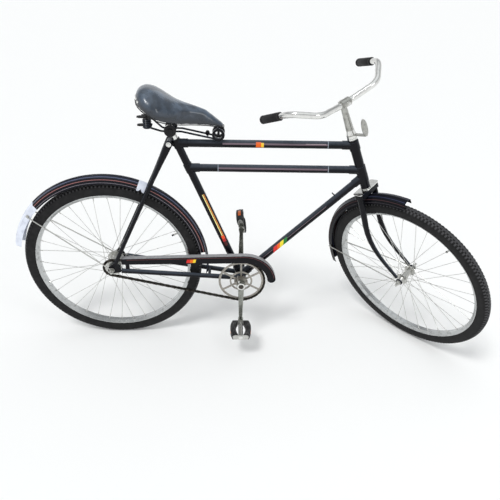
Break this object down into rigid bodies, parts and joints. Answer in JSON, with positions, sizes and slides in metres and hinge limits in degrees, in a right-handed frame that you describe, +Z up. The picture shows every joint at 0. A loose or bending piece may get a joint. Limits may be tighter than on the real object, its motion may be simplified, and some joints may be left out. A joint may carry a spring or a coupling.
{
  "type": "roadster bicycle",
  "caption": "Upright roadster bicycle with a twin top tube diamond frame, sprung saddle, raised bar, mudguards and chain guard.",
  "frame": {"origin": "the rider's seat point on top of the saddle", "axes": "+X forward along the bicycle, +Y to the rider's left, +Z up"},
  "size_m": [1.8508, 0.6018, 1.1629],
  "materials": {
    "black_enamel": "gloss black stove enamel",
    "chrome": "bright chrome plate",
    "bright_steel": "dulled zinc and nickel plate",
    "chain_steel": "oiled steel",
    "tyre_rubber": "moulded black rubber",
    "white_plastic": "moulded white plastic",
    "saddle_vinyl": "glossy grained black vinyl",
    "black_rubber": "ribbed black rubber"
  },
  "bodies": {
    "frame": {"head_tube": "black_enamel", "top_tube_upper": "black_enamel", "top_tube_lower": "black_enamel", "down_tube": "black_enamel", "seat_tube": "black_enamel", "head_lugs": "black_enamel", "seat_lugs": "black_enamel", "bottom_bracket": "black_enamel", "chain_stays": "black_enamel", "seat_stays": "black_enamel", "rear_dropouts": "black_enamel", "rear_axle": "bright_steel", "rear_mudguard": "black_enamel", "mudguard_tail": "white_plastic", "rear_wires": "bright_steel", "chain_guard": "black_enamel", "chain": "chain_steel", "headset_cups": "chrome", "seat_post": "chrome", "saddle_clamp": "black_enamel", "saddle_frame": "black_enamel", "saddle_cover": "saddle_vinyl"},
    "fork": {"fork_crown": "black_enamel", "crown_cover": "chrome", "fork_blades": "black_enamel", "front_axle": "bright_steel", "front_mudguard": "black_enamel", "front_wires": "bright_steel", "headset_nuts": "chrome", "stem": "chrome", "handlebar": "chrome", "grips": "black_rubber", "lamp_bracket": "chrome"},
    "rear_wheel": {"rear_tyre": "tyre_rubber", "rear_rim": "bright_steel", "rear_spokes": "bright_steel", "rear_hub": "bright_steel", "rear_sprocket": "bright_steel"},
    "front_wheel": {"front_tyre": "tyre_rubber", "front_rim": "bright_steel", "front_spokes": "bright_steel", "front_hub": "bright_steel"},
    "cranks": {"crank_spindle": "chrome", "crank_right": "chrome", "crank_left": "chrome", "chainring": "chrome"},
    "pedal_right": {"pedal_right_body": "bright_steel", "pedal_right_rubbers": "black_rubber"},
    "pedal_left": {"pedal_left_body": "bright_steel", "pedal_left_rubbers": "black_rubber"}
  },
  "joints": [
    {"name": "steering", "type": "hinge", "parent": "frame", "child": "fork", "pos_m": [0.76385, 0, -0.35293], "axis": [-0.36, 0, 0.933], "range_deg": [-27, 123]},
    {"name": "rear_wheel_spin", "type": "hinge", "parent": "frame", "child": "rear_wheel", "pos_m": [-0.23339, 0, -0.7104], "axis": [0, 1, 0], "continuous": true},
    {"name": "front_wheel_spin", "type": "hinge", "parent": "fork", "child": "front_wheel", "pos_m": [0.96836, -0.06517, -0.71991], "axis": [0.6933, 0.6691, 0.2675], "continuous": true},
    {"name": "crank_spin", "type": "hinge", "parent": "frame", "child": "cranks", "pos_m": [0.29, 0, -0.772], "axis": [0, 1, 0], "continuous": true},
    {"name": "pedal_right_spin", "type": "hinge", "parent": "cranks", "child": "pedal_right", "pos_m": [0.29, 0, -0.947], "axis": [0, 1, 0], "continuous": true},
    {"name": "pedal_left_spin", "type": "hinge", "parent": "cranks", "child": "pedal_left", "pos_m": [0.29, 0, -0.597], "axis": [0, 1, 0], "continuous": true}
  ]
}
